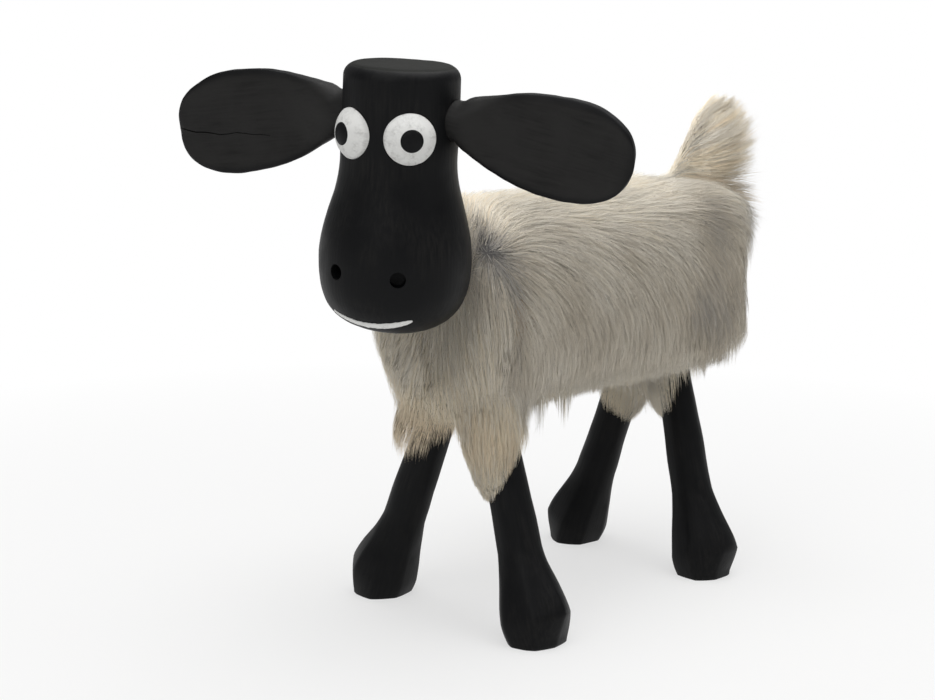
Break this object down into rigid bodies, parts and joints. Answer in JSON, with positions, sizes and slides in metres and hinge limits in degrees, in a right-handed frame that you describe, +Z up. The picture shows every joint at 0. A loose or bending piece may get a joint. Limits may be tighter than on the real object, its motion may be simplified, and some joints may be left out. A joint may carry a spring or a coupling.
{
  "type": "carved animal figure",
  "caption": "Standing farm animal figure of black-painted carved wood with a long pale fur coat, a turned bottle-shaped head, paddle ears, button eyes and splayed legs.",
  "frame": {"origin": "middle of the outline seen from above, on the surface that the hooves stand on", "axes": "+Z up, -Y the way the trunk faces, +X the animal's left"},
  "size_m": [0.3082, 0.4557, 0.4079],
  "materials": {
    "bare_wood": "matte",
    "black_paint": "satin",
    "eye_paint": "satin",
    "fur": "matte",
    "steel": "satin"
  },
  "bodies": {
    "trunk": {"trunk_core": "bare_wood", "neck_block": "bare_wood", "neck_dowel": "bare_wood", "tail_peg": "bare_wood", "leg_front_left": "black_paint", "leg_front_right": "black_paint", "leg_rear_left": "black_paint", "leg_rear_right": "black_paint", "leg_dowel_front_left": "bare_wood", "leg_dowel_front_right": "bare_wood", "leg_dowel_rear_left": "bare_wood", "leg_dowel_rear_right": "bare_wood", "hide_saddle": "fur", "hide_chest": "fur", "hide_rump": "fur", "hide_neck": "fur", "hide_tail": "fur", "hide_cuff_front_left": "fur", "hide_cuff_front_right": "fur", "hide_cuff_rear_left": "fur", "hide_cuff_rear_right": "fur", "belly_tacks": "steel"},
    "head": {"head_block": "black_paint", "eye_left": "eye_paint", "eye_right": "eye_paint", "pupil_left": "black_paint", "pupil_right": "black_paint"},
    "ear_left": {"ear_left": "black_paint", "ear_dowel_left": "bare_wood"},
    "ear_right": {"ear_right": "black_paint", "ear_dowel_right": "bare_wood"}
  },
  "joints": [
    {"name": "head_cock", "type": "hinge", "parent": "trunk", "child": "head", "pos_m": [-0.02492, -0.10881, 0.28282], "axis": [-0.3716, 0.9269, 0.0523], "range_deg": [-20, 20]},
    {"name": "ear_left_twist", "type": "hinge", "parent": "head", "child": "ear_left", "pos_m": [0.03314, -0.14877, 0.37095], "axis": [0.902, 0.3737, -0.2162], "range_deg": [-35, 35]},
    {"name": "ear_right_twist", "type": "hinge", "parent": "head", "child": "ear_right", "pos_m": [-0.03019, -0.17436, 0.37454], "axis": [-0.9244, -0.3642, -0.113], "range_deg": [-35, 35]}
  ]
}
